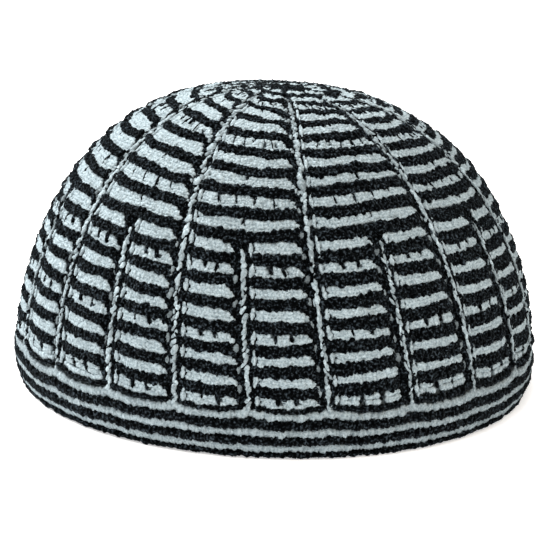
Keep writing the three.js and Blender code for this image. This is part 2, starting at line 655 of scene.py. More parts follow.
@dataclass
class Knitter:
    """Lays stitches on the cap by the chart."""

    form: CapForm
    chart: Chart
    layout: PanelLayout
    gauge: Gauge
    random: np.random.Generator

    def span(self, first: int, ribs: int, along: float) -> PanelSpan:
        """Measure a panel.

        Args:
            first: Rib at the panel's start.
            ribs: Low panels that it takes up.
            along: Length along the cloth where it is measured.

        Returns:
            The panel there.
        """
        layout = self.layout
        angle = self.form.panel_angle(first + ribs) - self.form.panel_angle(first)
        width = max(float(angle * self.form.outer.at(along)[0]), layout.narrowest)
        scale = min((width / layout.wide) ** layout.narrowing, 1.0) * layout.gather(along)
        return PanelSpan(first, ribs, width, max(scale, layout.least))

    def side(self, first: int, ribs: int) -> float:
        """How far a panel lies to the right: 1 at the right of the cap and -1 at the left."""
        return math.sin(float(self.form.panel_angle(first + ribs / 2.0)))

    def row_place(self, panel: Array, along: Numbers) -> Array:
        """Bend a level course into the line that the knitting takes round the cap.

        Args:
            panel: Places round the cap, counted in low panels.
            along: Lengths of the level course from the hem.

        Returns:
            Lengths along the cloth.
        """
        gauge = self.gauge
        along = np.asarray(along, float)
        turn = panel * math.tau / self.form.low_panels
        angle = np.degrees(self.form.panel_angle(panel))
        scallop = gauge.scallop.eased(panel % 1.0) * gauge.scallop_lift.straight(along)
        slant = -gauge.top_slant * np.sin(np.radians(angle - gauge.slant_towards))
        slant = slant * gauge.slant_share.straight(along)
        aside = np.abs((angle - gauge.side_lift_centre + 180.0) % 360.0 - 180.0)
        side = gauge.side_lift * smooth_step(0.0, gauge.side_lift_reach, aside)
        side = side * gauge.side_lift_share.straight(along)
        wave = sum(np.sin(count * turn + along / length) for count, length in gauge.waves)
        top = 1.0 + gauge.top_wave * smooth_step(*gauge.top_wave_along, along)
        size = gauge.wave * smooth_step(*gauge.wave_along, along) * top
        return along + scallop + side + slant + size * wave

    def in_bar(self, panel: Array, stripe: Stripe | None) -> Array:
        """Find where the bars of a stripe lie.

        Args:
            panel: Places round the cap, counted in low panels.
            stripe: Stripe that is looked at, or None for none.

        Returns:
            One in a bar, else nought.
        """
        if stripe is None or not stripe.is_pale:
            return np.zeros(len(panel))
        ribs = 1 if stripe.row <= self.chart.low_rows else 2
        first = np.floor(panel / ribs) * ribs
        spans = [self.span(int(rib), ribs, stripe.middle) for rib in first]
        width = np.array([span.width for span in spans])
        scale = np.array([span.scale for span in spans])
        across = (panel - first) / ribs * width
        inside = (across > self.layout.bar_start * scale) & (across < width - self.layout.bar_end * scale)
        return inside.astype(float)

    def legs(self, start: float, end: float) -> Array:
        """Share out the legs of a course.

        Args:
            start: Where the course starts across a panel.
            end: Where it ends.

        Returns:
            Places of the legs, or none where the course has no length.
        """
        if end <= start:
            return np.empty(0)
        count = max(1, round((end - start) / self.gauge.pitch))
        return start + (np.arange(count) + 0.5) * (end - start) / count

    def work(
        self,
        batch: StitchBatch,
        span: PanelSpan,
        across: Array | list[float],
        along: float,
        stitch: Stitch,
        drop: Numbers = 0.0,
    ) -> None:
        """Work one course of stitches across part of a panel.

        Args:
            batch: Where the stitches go.
            span: Panel that they are in.
            across: Places of the stitches from the panel's rib.
            along: Length along the cloth of the course's middle.
            stitch: Kind of stitch.
            drop: How far each stitch lies below the course.
        """
        gauge = self.gauge
        count = len(across)
        if not count:
            return
        loose = self.random.normal(0.0, stitch.looseness, (count, 6))
        panel = span.panel(np.asarray(across) + gauge.shift * loose[:, 0])
        lengths = self.row_place(panel, along) + gauge.shift * loose[:, 1] - drop
        loft = gauge.loft * smooth_step(*gauge.loft_along, lengths)
        spots = self.form.spots(panel, lengths, stitch.depth - loft + gauge.depth_shift * loose[:, 2])
        sides = (stitch.width, stitch.length, stitch.thick)
        size = np.stack([np.full(count, side) for side in sides], -1)
        size = size / 2.0 * (1.0 + gauge.size_spread * loose[:, 3:4])
        turn = stitch.lean
        if turn is None:
            turn = np.where(np.arange(count) % 2, gauge.lean, -gauge.lean)
        turn = np.radians(turn + gauge.lean_spread * loose[:, 4])
        batch.lay(spots, size, turn, stitch.shade * (1.0 + gauge.shade_spread * loose[:, 5]))


def operator(operation: str, reflected: bool = False) -> Callable[["Signal", Any], "Signal"]:
    """Make a Python operator that adds a Math node.

    Args:
        operation: Operation of the node.
        reflected: Whether the other value comes first.

    Returns:
        The operator's method.
    """
    def apply(self: "Signal", other: Any) -> "Signal":
        """Add the node."""
        return self.board.math(operation, *((other, self) if reflected else (self, other)))

    return apply


@dataclass(frozen=True)
class Signal:
    """Socket of a node tree that takes part in Python expressions."""

    board: "Board"
    socket: bpy.types.NodeSocket

    __add__ = operator("ADD")
    __radd__ = operator("ADD", reflected=True)
    __sub__ = operator("SUBTRACT")
    __rsub__ = operator("SUBTRACT", reflected=True)
    __mul__ = operator("MULTIPLY")
    __rmul__ = operator("MULTIPLY", reflected=True)
    __truediv__ = operator("DIVIDE")
    __rtruediv__ = operator("DIVIDE", reflected=True)
    __mod__ = operator("MODULO")
    __gt__ = operator("GREATER_THAN")

    def sibling(self, name: str) -> "Signal":
        """Another output of the same node."""
        return Signal(self.board, self.socket.node.outputs[name])


class Board:
    """Node tree under construction."""

    def __init__(self, tree: bpy.types.NodeTree) -> None:
        """Start on an empty tree."""
        self.tree = tree
        self.tree.nodes.clear()

    def add(
        self,
        kind: str,
        settings: dict[str, Any] | None = None,
        sockets: dict[str | int, Any] | None = None,
        output: str | int = 0,
    ) -> Signal:
        """Add a node.

        Args:
            kind: Type of the node.
            settings: Properties of the node, which are set first.
            sockets: Values or links of its inputs, by name or number.
            output: Output to hand on, by name or number.

        Returns:
            That output, or the first input where the node has no outputs.
        """
        node = self.tree.nodes.new(kind)
        for name, value in (settings or {}).items():
            setattr(node, name, value)
        for key, value in (sockets or {}).items():
            if isinstance(value, Signal):
                self.tree.links.new(value.socket, node.inputs[key])
            else:
                node.inputs[key].default_value = value
        return Signal(self, node.outputs[output] if node.outputs else node.inputs[0])

    def math(self, operation: str, *values: Any) -> Signal:
        """Work on numbers."""
        return self.add("ShaderNodeMath", {"operation": operation}, dict(enumerate(values)))

    def vector(self, operation: str, *values: Any, output: str = "Vector") -> Signal:
        """Work on vectors."""
        return self.add("ShaderNodeVectorMath", {"operation": operation}, dict(enumerate(values)), output)

    def scale(self, colour: Any, factor: Signal) -> Signal:
        """Brighten or darken a colour, or stretch a vector, by a factor."""
        return self.add("ShaderNodeVectorMath", {"operation": "SCALE"}, {0: colour, "Scale": factor})

    def combine(self, *parts: Any) -> Signal:
        """Make a vector of its parts."""
        return self.add("ShaderNodeCombineXYZ", {}, dict(enumerate(parts)))

    def axis(self, vector: Signal, number: int) -> Signal:
        """Take one part of a vector."""
        return self.add("ShaderNodeSeparateXYZ", {}, {0: vector}, number)

    def noise(self, place: Signal, size: float, detail: float = 2.0) -> Signal:
        """Noise round a half, with blots of a size in millimetres and octaves of finer detail."""
        inputs = {"Vector": place, "Scale": 1.0 / (size * MM), "Detail": detail}
        return self.add("ShaderNodeTexNoise", {}, inputs)

    def ease(self, value: Signal, low: float, high: float) -> Signal:
        """Ease a value from 0 to 1 between two limits."""
        settings = {"interpolation_type": "SMOOTHSTEP"}
        return self.add("ShaderNodeMapRange", settings, {0: value, 1: low, 2: high})

    def mix(self, factor: Signal, first: Any, second: Any) -> Signal:
        """Mix two colours."""
        return self.add("ShaderNodeMix", {"data_type": "RGBA"}, {0: factor, 6: first, 7: second}, 2)


def opaque(colour: Triple) -> tuple[float, float, float, float]:
    """Colour with full cover, as sockets take it."""
    return (*colour, 1.0)


class Surface(Board):
    """Material under construction."""

    def __init__(self, name: str) -> None:
        """Start a material.

        Args:
            name: Name of the material.
        """
        self.material = bpy.data.materials.new(name)
        self.material.use_nodes = True
        super().__init__(self.material.node_tree)
        self.place = self.add("ShaderNodeTexCoord", output="Object")

    def reading(self, name: str) -> Signal:
        """Read a named attribute of the piece."""
        return self.add("ShaderNodeAttribute", {"attribute_name": name}, output="Fac")

    def finish(self, sockets: dict[str, Any]) -> Material:
        """End the material.

        Args:
            sockets: Values and links of its shader.

        Returns:
            The finished material.
        """
        shader = self.add("ShaderNodeBsdfPrincipled", {}, sockets)
        self.add("ShaderNodeOutputMaterial", {}, {"Surface": shader})
        return self.material


@dataclass(frozen=True)
class YarnFinish:
    """Chenille: short dense pile with a soft bloom and flecks where the pile parts."""

    name: str
    colour: Triple
    fleck: Triple
    fleck_range: Pair
    mottle: float
    sheen: float
    sheen_colour: Triple
    bump: float
    specular: float = 0.12
    pile_size: float = 0.7
    patch_size: float = 3.2
    bump_size: float = 0.7
    bump_detail: float = 3.0
    bump_height: float = 0.35
    loop_height: float = 1.0
    loop_fuzz: float = 0.35
    sheen_roughness: float = 0.45
    roughness: float = 0.8
    roughness_spread: float = 0.3

    def base_colour(self, surface: Surface) -> Signal:
        """Colour of the pile.

        Args:
            surface: Material under construction.

        Returns:
            Colour with its flecks and patches.
        """
        flecks = surface.ease(surface.noise(surface.place, self.pile_size), *self.fleck_range)
        patches = surface.noise(surface.place, self.patch_size) * (2.0 * self.mottle) + (1.0 - self.mottle)
        return surface.scale(surface.mix(flecks, opaque(self.colour), opaque(self.fleck)), patches)

    def dress(self, surface: Surface, colour: Signal, loops: Signal | None = None) -> Material:
        """Finish a material with this yarn's pile.

        Args:
            surface: Material under construction.
            colour: Colour all over the piece.
            loops: Height of the loops under the pile, or None for smooth cloth.

        Returns:
            The finished material.
        """
        fuzz = surface.noise(surface.place, self.bump_size, self.bump_detail)
        relief = {"Height": fuzz, "Strength": self.bump, "Distance": self.bump_height * MM}
        if loops is not None:
            height = fuzz * self.loop_fuzz + loops
            relief = {"Height": height, "Strength": 1.0, "Distance": self.loop_height * MM}
        return surface.finish({
            "Base Color": colour,
            "Roughness": self.roughness + fuzz * self.roughness_spread,
            "Specular IOR Level": self.specular,
            "Sheen Weight": self.sheen,
            "Sheen Roughness": self.sheen_roughness,
            "Sheen Tint": opaque(self.sheen_colour),
            "Normal": surface.add("ShaderNodeBump", {}, relief),
        })

    def material(self) -> Material:
        """Make the finish of this yarn's stitches."""
        surface = Surface(self.name)
        return self.dress(surface, surface.scale(self.base_colour(surface), surface.reading("shade")))


FINISHES = {
    Yarn.DARK: YarnFinish(
        name="dark_chenille",
        colour=(0.0006, 0.0007, 0.0008),
        fleck=(0.04, 0.052, 0.062),
        fleck_range=(0.51, 0.72),
        mottle=0.5,
        sheen=0.042,
        sheen_colour=(0.8, 0.93, 1.0),
        bump=0.4,
        specular=0.0,
        pile_size=0.8,
    ),
    Yarn.PALE: YarnFinish(
        name="pale_chenille",
        colour=(0.228, 0.281, 0.303),
        fleck=(0.382, 0.453, 0.478),
        fleck_range=(0.34, 0.62),
        mottle=0.12,
        sheen=0.03,
        sheen_colour=(0.85, 0.95, 1.0),
        bump=1.0,
    ),
}


@dataclass(frozen=True)
class ClothFinish:
    """Backing of the knitting, seen between the stitches and inside the cap, its yarn colours darkened by
    painted shade.
    """

    name: str = "knit_backing"
    # Painted shade: share of the yarn colour kept all over, and the share taken away between the purl
    # loops.
    dimming: float = 0.6
    loop_light: float = 0.4
    loop_course: float = 1.85
    loop_waist: float = 0.3
    loops_round: int = 198

    def loops(self, surface: Surface) -> Signal:
        """Height of the purl loops on the inside of the cloth.

        Args:
            surface: Material under construction.

        Returns:
            Height from 0 between the loops to 1 on them.
        """
        along = surface.reading("along")
        turn = surface.math("ARCTAN2", surface.axis(surface.place, 1), surface.axis(surface.place, 0))
        angle = turn * self.loops_round + along * (math.pi / self.loop_course)
        rows = surface.math("SINE", along * (math.tau / self.loop_course)) * 0.5 + 0.5
        return rows * (surface.math("SINE", angle) * self.loop_waist + (1.0 - self.loop_waist))

    def material(self) -> Material:
        """Make a material that takes either yarn's colour by the stripe, darkened by painted shade.

        Returns:
            The finished material.
        """
        surface = Surface(self.name)
        loops = self.loops(surface)
        colours = [finish.base_colour(surface) for finish in FINISHES.values()]
        # Painted shade: darker all over for the shade in the pits between stitches and inside the cap, and
        # darker still between the purl loops.
        light = self.dimming * ((1.0 - self.loop_light) + self.loop_light * loops)
        colour = surface.scale(surface.mix(surface.reading("pale"), *colours), light)
        return FINISHES[Yarn.DARK].dress(surface, colour, loops)


class Recipe(Board):
    """Geometry node tree with named inputs, run on one object at a time.

    Half a shape is fitted across and up its cell of the bake map by a share of its size and a start.
    """

    cell_fit: tuple[Pair, Pair] = ((0.22, 0.25), (0.44, 0.5))
    upper_half: float = 0.1

    def __init__(self, name: str, source: str, sizes: dict[str, float]) -> None:
        """Start a tree.

        Args:
            name: Name of the tree.
            source: Name of its geometry input.
            sizes: Names and values of its inputs for sizes.
        """
        super().__init__(bpy.data.node_groups.new(name, "GeometryNodeTree"))
        self.sizes = sizes
        kinds = {source: "Geometry", "Seed": "Int", "Cells": "Int", "Yarn": "Material"}
        kinds.update(dict.fromkeys(sizes, "Float"))
        self.identifiers = {key: self.socket(key, "INPUT", kind) for key, kind in kinds.items()}
        gate = self.add("NodeGroupInput")
        self.inputs = {key: gate.sibling(key) for key in kinds}
        self.source = self.inputs[source]

    def socket(self, name: str, side: str, kind: str) -> str:
        """Add a named socket to the tree and give its identifier."""
        kind = f"NodeSocket{kind}"
        return self.tree.interface.new_socket(name, in_out=side, socket_type=kind).identifier

    def attribute(self, name: str) -> Signal:
        """Read a named vector."""
        settings = {"data_type": "FLOAT_VECTOR"}
        return self.add("GeometryNodeInputNamedAttribute", settings, {"Name": name})

    def store(self, geometry: Signal, name: str, value: Signal, kind: str, domain: str) -> Signal:
        """Keep a value of a kind on a domain of the geometry as a named attribute."""
        sockets = {"Geometry": geometry, "Name": name, "Value": value}
        return self.add("GeometryNodeStoreNamedAttribute", {"data_type": kind, "domain": domain}, sockets)

    def spread(self, low: Any, high: Any, seed: Signal) -> Signal:
        """Draw random values for the points.

        Args:
            low: Lowest value, a number or a vector.
            high: Highest value.
            seed: Seed of the draw.

        Returns:
            One value of that kind for each point.
        """
        kind, number = ("FLOAT_VECTOR", 0) if isinstance(low, tuple) else ("FLOAT", 1)
        sockets = {2 * number: low, 2 * number + 1: high, "Seed": seed}
        return self.add("FunctionNodeRandomValue", {"data_type": kind}, sockets, number)

    def turned(self, rotation: Signal, angles: Signal) -> Signal:
        """Turn rotations about their own axes by three angles."""
        turn = self.add("FunctionNodeEulerToRotation", {}, {0: angles})
        return self.add("FunctionNodeRotateRotation", {"rotation_space": "LOCAL"}, {0: rotation, 1: turn})

    def copies(self, points: Signal, shape: Signal, rotation: Signal, scale: Signal) -> Signal:
        """Put a shape on every point, each with its own cell of the bake map.

        The two halves of a shape lie side by side in its cell.

        Args:
            points: Points with their attributes.
            shape: Mesh to repeat.
            rotation: Turn of each copy.
            scale: Size of each copy.

        Returns:
            One mesh of all the copies.
        """
        cells = self.inputs["Cells"]
        index = self.add("GeometryNodeInputIndex")
        column = index % cells
        cell = self.combine(column, (index - column) / cells)
        points = self.store(points, "cell", cell, "FLOAT_VECTOR", "POINT")
        position = self.add("GeometryNodeInputPosition")
        shape = self.store(shape, "local", position, "FLOAT_VECTOR", "POINT")
        sockets = {"Points": points, "Instance": shape, "Rotation": rotation, "Scale": scale}
        copies = self.add("GeometryNodeInstanceOnPoints", {}, sockets)
        mesh = self.add("GeometryNodeRealizeInstances", {}, {0: copies})
        home, local = self.attribute("cell"), self.attribute("local")
        settings = {"data_type": "FLOAT_VECTOR", "domain": "FACE"}
        middle = self.add("GeometryNodeFieldOnDomain", settings, {0: local})
        u, v = (
            self.axis(home, number) + self.axis(local, number) * share + start
            for number, (share, start) in enumerate(self.cell_fit)
        )
        beside = 0.5 * (self.axis(middle, 2) > self.upper_half)
        place = self.combine((u + beside) / cells, v / cells)
        mesh = self.store(mesh, "OFBake", place, "FLOAT2", "CORNER")
        for name in ("local", "cell", "out", "up", "size"):
            mesh = self.add("GeometryNodeRemoveAttribute", {}, {"Geometry": mesh, "Name": name})
        return mesh

    def close(self, mesh: Signal) -> "Recipe":
        """End the tree with smooth faces, the yarn's material and the way out.

        Args:
            mesh: Mesh of all the copies.

        Returns:
            The finished tree.
        """
        mesh = self.add("GeometryNodeSetShadeSmooth", {}, {"Geometry": mesh})
        sockets = {"Geometry": mesh, "Material": self.inputs["Yarn"]}
        mesh = self.add("GeometryNodeSetMaterial", {}, sockets)
        self.socket("Mesh", "OUTPUT", "Geometry")
        self.add("NodeGroupOutput", {}, {0: mesh})
        return self

    def run(self, item: Item, material: Material, seed: int, count: float, **sizes: float) -> None:
        """Run the tree on an object and keep the result as its plain mesh.

        Args:
            item: Object that the tree reads and changes.
            material: Finish of the yarn.
            seed: Seed of the random draws.
            count: Copies that the bake map needs cells for.
            sizes: Sizes that differ from those that the tree was made with.
        """
        modifier = item.modifiers.new(self.tree.name, "NODES")
        modifier.node_group = self.tree
        own = {"Seed": seed, "Cells": math.ceil(math.sqrt(count)), "Yarn": material}
        for name, value in {**self.sizes, **sizes, **own}.items():
            modifier[self.identifiers[name]] = value
        graph = bpy.context.evaluated_depsgraph_get()
        mesh = bpy.data.meshes.new_from_object(item.evaluated_get(graph), depsgraph=graph)
        item.modifiers.remove(modifier)
        old, item.data = item.data, mesh
        bpy.data.meshes.remove(old)
        mesh.name = item.name


def joined_copy(name: str, items: list[Item]) -> Item:
    """Copy pieces into one new object.

    Args:
        name: Name of the new object.
        items: Pieces to copy.

    Returns:
        The new object, with its points' shades.
    """
    places, shades, faces = [], [], []
    start = 0
    for mesh in (item.data for item in items):
        places.append(read_all(mesh.vertices, "co", 3).reshape(-1, 3))
        shades.append(read_all(mesh.attributes["shade"].data, "value"))
        faces.append(read_all(mesh.loops, "vertex_index", kind=np.int32).reshape(-1, 3) + start)
        start += len(mesh.vertices)
    mesh = bpy.data.meshes.new(name)
    mesh.from_pydata(np.concatenate(places).tolist(), [], np.concatenate(faces).tolist())
    add_layer(mesh, "shade", np.concatenate(shades))
    return link(bpy.data.objects.new(name, mesh))


@dataclass
class StitchMaker:
    """Sizes of the rounded yarn stitches and of their brushed pile, with the trees that make them."""

    size_spread: float = 0.1
    turn_spread: float = 7.0
    roughening: float = 0.22
    roughening_size: float = 0.7
    pile_width: float = 0.2
    pile_length: float = 0.75
    pile_spread: Pair = (0.5, 1.2)
    pile_lean: float = 40.0
    pile_facing: float = 0.45
    pile_share: float = 0.3
    pile_room: float = 1.6
    cap_centre: Triple = (0.0, 0.0, 30.0 * MM)

    @cached_property
    def stitch_recipe(self) -> Recipe:
        """Tree that puts a rounded stitch on each point.

        Returns:
            The tree with its sizes.
        """
        recipe = Recipe("knit_stitches", "Points", {
            "Size Spread": self.size_spread,
            "Turn Spread": math.radians(self.turn_spread),
            "Roughening": self.roughening * MM,
        })
        inputs = recipe.inputs
        shape = recipe.add("GeometryNodeMeshIcoSphere", {}, {"Radius": 1.0, "Subdivisions": 1})
        settings = {"primary_axis": "Z", "secondary_axis": "Y"}
        axes = {0: recipe.attribute("out"), 1: recipe.attribute("up")}
        rotation = recipe.add("FunctionNodeAxesToRotation", settings, axes)
        loose = recipe.spread((-1.0, -1.0, -1.0), (1.0, 1.0, 1.0), inputs["Seed"])
        rotation = recipe.turned(rotation, recipe.scale(loose, inputs["Turn Spread"]))
        factor = 1.0 + inputs["Size Spread"] * recipe.spread(-1.0, 1.0, inputs["Seed"] + 1)
        size = recipe.scale(recipe.attribute("size"), factor)
        mesh = recipe.copies(recipe.source, shape, rotation, size)
        noise = recipe.noise(recipe.add("GeometryNodeInputPosition"), self.roughening_size)
        swell = (noise - 0.5) * inputs["Roughening"] * 2.0
        offset = recipe.scale(recipe.add("GeometryNodeInputNormal"), swell)
        sockets = {"Geometry": mesh, "Offset": offset}
        return recipe.close(recipe.add("GeometryNodeSetPosition", {}, sockets))

    @cached_property
    def pile_recipe(self) -> Recipe:
        """Tree that stands slivers of pile on the outward faces of stitches.

        Returns:
            The tree with its sizes, apart from the density.
        """
        recipe = Recipe("brushed_pile", "Stitches", {
            "Density": 0.0,
            "Width": self.pile_width * MM,
            "Length": self.pile_length * MM,
            "Lean": math.radians(self.pile_lean),
        })
        inputs = recipe.inputs
        seed, lean = inputs["Seed"], inputs["Lean"]
        sockets = {"Vertices": 3, "Radius Top": 0.0, "Radius Bottom": 1.0, "Depth": 1.0}
        shape = recipe.add("GeometryNodeMeshCone", {"fill_type": "NGON"}, sockets)
        outward = recipe.vector("SUBTRACT", recipe.add("GeometryNodeInputPosition"), self.cap_centre)
        outward = recipe.vector("NORMALIZE", outward)
        normal = recipe.add("GeometryNodeInputNormal")
        facing = recipe.vector("DOT_PRODUCT", normal, outward, output="Value") > self.pile_facing
        sockets = {"Mesh": recipe.source, "Selection": facing, "Density": inputs["Density"], "Seed": seed}
        points = recipe.add("GeometryNodeDistributePointsOnFaces", {"distribute_method": "RANDOM"}, sockets)
        loose = recipe.spread((-1.0, -1.0, 0.0), (1.0, 1.0, 1.0), seed)
        loose = recipe.vector("MULTIPLY", loose, recipe.combine(lean, lean, math.tau))
        tall = inputs["Length"] * recipe.spread(*self.pile_spread, seed + 1)
        half = inputs["Width"] * 0.5
        size = recipe.combine(half, half, tall)
        rotation = recipe.turned(points.sibling("Rotation"), loose)
        return recipe.close(recipe.copies(points, shape, rotation, size))


@dataclass
class Shell:
    """Closed wall from rings of points that run up the outside and down the inside."""

    name: str
    rings: list[Array] = field(default_factory=list)
    layers: dict[str, list[Array]] = field(default_factory=lambda: {"pale": [], "along": []})

    def add(self, ring: Array, pale: Numbers, along: float) -> None:
        """Add a ring.

        Args:
            ring: Its points; one point alone is a pole.
            pale: One where it is pale, else nought.
            along: Its length along the cloth.
        """
        self.rings.append(ring)
        for values, value in zip(self.layers.values(), (pale, along)):
            values.append(np.broadcast_to(value, len(ring)))

    def build(self, material: Material) -> Item:
        """Join the rings into one body, and the last of them back to the first.

        Args:
            material: Finish of the wall.

        Returns:
            The wall, with its stripes and its length along the cloth as attributes of its points.
        """
        counts = [len(ring) for ring in self.rings]
        starts = np.concatenate(([0], np.cumsum(counts)))
        columns = max(counts)
        faces, maps = [], []
        for low, count in enumerate(counts):
            high = (low + 1) % len(counts)
            for column in range(columns):
                corners = [(low, column), (low, column + 1), (high, column + 1), (high, column)]
                if count == 1:
                    corners.pop(1)
                if counts[high] == 1:
                    corners.pop(-1)
                if len(corners) < 3:
                    continue
                faces.append([int(starts[r]) + c % counts[r] for r, c in corners])
                maps.extend((c / columns, (low + (r != low)) / len(counts)) for r, c in corners)
        mesh = bpy.data.meshes.new(self.name)
        mesh.from_pydata((np.concatenate(self.rings) * MM).tolist(), [], faces)
        for name, values in self.layers.items():
            add_layer(mesh, name, np.concatenate(values))
        bake = mesh.uv_layers.new(name="OFBake")
        bake.data.foreach_set("uv", np.array(maps, np.float32).ravel())
        mesh.polygons.foreach_set("use_smooth", np.ones(len(faces), bool))
        mesh.materials.append(material)
        return link(bpy.data.objects.new(self.name, mesh))


@dataclass
class Workshop:
    """What every part of the cap is made with, and the stitches made so far."""

    knitter: Knitter
    maker: StitchMaker
    yarns: dict[Yarn, Material]
    backing: Material
    worked: dict[Yarn, list[Item]] = field(default_factory=lambda: {yarn: [] for yarn in Yarn})

    def keep(self, item: Item, yarn: Yarn, *nodes: str) -> None:
        """Fix a finished piece to the frame and report it.

        Args:
            item: The piece.
            yarn: Not used.
            nodes: Solids that the piece stands for.
        """
        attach(item, BODY)
        if nodes:
            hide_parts(*nodes)
        triangles = sum(len(face.vertices) - 2 for face in item.data.polygons)
        log.info("%s: %d triangles", item.name, triangles)

    def make(self, batches: list[StitchBatch], seed: int) -> None:
        """Make batches of stitches into pieces.

        Args:
            batches: Stitches of each piece.
            seed: Seed of the first piece, from which the others count on.
        """
        for number, batch in enumerate(batches):
            piece = batch.seeds()
            material = self.yarns[batch.yarn]
            self.maker.stitch_recipe.run(piece, material, seed + number, len(batch))
            self.keep(piece, batch.yarn)
            self.worked[batch.yarn].append(piece)

    def brush(self, counts: dict[Yarn, int], seed: int) -> None:
        """Brush up the pile of the stitches.

        Args:
            counts: Slivers of pile in each yarn, about.
            seed: Seed of the first yarn's pile, from which the other counts on.
        """
        maker = self.maker
        for number, (yarn, count) in enumerate(counts.items()):
            piece = joined_copy(f"{yarn.word}_pile", self.worked[yarn])
            area = read_all(piece.data.polygons, "area", kind=float).sum()
            density = count / float(area * maker.pile_share)
            room = count * maker.pile_room
            maker.pile_recipe.run(piece, self.yarns[yarn], seed + number, room, Density=density)
            self.keep(piece, yarn)


@dataclass
class BorderBand:
    """Striped border round the hem."""

    shop: Workshop
    seed: int = SEED
    columns: int = 176
    outer_depth: float = 1.5
    wall_rows: int = 13
    inner_drop: float = 0.4
    hem_lift: float = 0.9
    leg_overlap: float = 2.1
    leg_lengths: dict[Yarn, float] = field(default_factory=lambda: {Yarn.DARK: 1.45, Yarn.PALE: 1.43})
    # Painted shade: the border's pale stitches are darkened to 0.83 for the weaker light that reaches the
    # upright band.
    shades: dict[Yarn, float] = field(default_factory=lambda: {Yarn.DARK: 1.0, Yarn.PALE: 0.83})
    hem_stripe_trim: float = 0.4
    dark_swell: float = 0.4
    looseness: float = 0.7
    loop_pitch: float = 2.0
    loop_along: float = 0.95
    loop_depth: float = 1.6
    loop_size: Triple = (0.85, 1.45, 0.8)
    loop_lean: float = 80.0
    loop_unevenness: float = 0.16
    loop_limits: Pair = (0.7, 1.15)

    def build(self) -> None:
        """Make the wall and the stitches."""
        self.build_wall()
        self.build_stitches()

    def build_wall(self) -> None:
        """Make the backing of the border."""
        knitter = self.shop.knitter
        form, top = knitter.form, knitter.chart.band_top
        panel = form.all_round(self.columns)
        wall = Shell("band_wall")
        for along in np.linspace(self.hem_lift, top, self.wall_rows):
            ring = form.spots(panel, knitter.row_place(panel, along), self.outer_depth).place
            wall.add(ring, self.is_pale(along), along)
        for along in np.linspace(top - self.inner_drop, self.hem_lift, self.wall_rows):
            radius, level, _, _ = form.inner.at(along)
            wall.add(form.places(radius, form.panel_angle(panel), level), self.is_pale(along), along)
        self.shop.keep(wall.build(self.shop.backing), Yarn.PALE, "border_band")

    def is_pale(self, along: float) -> float:
        """One where the border is pale at a length along the cloth, else nought."""
        stripes = self.shop.knitter.chart.border()
        return float((Chart.stripe_at(stripes, along) or stripes[-1]).is_pale)

    def build_stitches(self) -> None:
        """Make the stitches of the stripes and of the cast-on edge."""
        knitter = self.shop.knitter
        gauge = knitter.gauge
        batches = {yarn: StitchBatch(f"border_{yarn.word}", yarn) for yarn in Yarn}
        swelled = gauge.dark_depth - self.dark_swell * gauge.dark_swell
        for stripe in knitter.chart.border():
            length = stripe.height * self.leg_lengths[stripe.yarn]
            if stripe.row == 0:
                length = 2.0 * stripe.middle - self.hem_stripe_trim
            stitch = Stitch(
                gauge.pitch * self.leg_overlap,
                length,
                gauge.pale_depth if stripe.is_pale else swelled,
                # Painted shade: the border's pale stripes take their darker shade here.
                shade=self.shades[stripe.yarn],
                looseness=self.looseness,
            )
            for first in range(knitter.form.low_panels):
                span = knitter.span(first, 1, stripe.middle)
                legs = knitter.legs(0.0, span.width)
                knitter.work(batches[stripe.yarn], span, legs, stripe.middle, stitch)
        self.cast_on(batches[Yarn.DARK])
        self.shop.make(list(batches.values()), self.seed)

    def cast_on(self, batch: StitchBatch) -> None:
        """Lay the row of loops that the hem rests on.

        Args:
            batch: Where the loops go.
        """
        form = self.shop.knitter.form
        count = round(math.tau * form.hem_radius / self.loop_pitch)
        spots = form.spots(form.all_round(count), self.loop_along, self.loop_depth)
        uneven = self.shop.knitter.random.normal(1.0, self.loop_unevenness, (count, 1))
        size = np.array([self.loop_size]) * np.clip(uneven, *self.loop_limits)
        batch.lay(spots, size, np.full(count, math.radians(self.loop_lean)), np.ones(count))


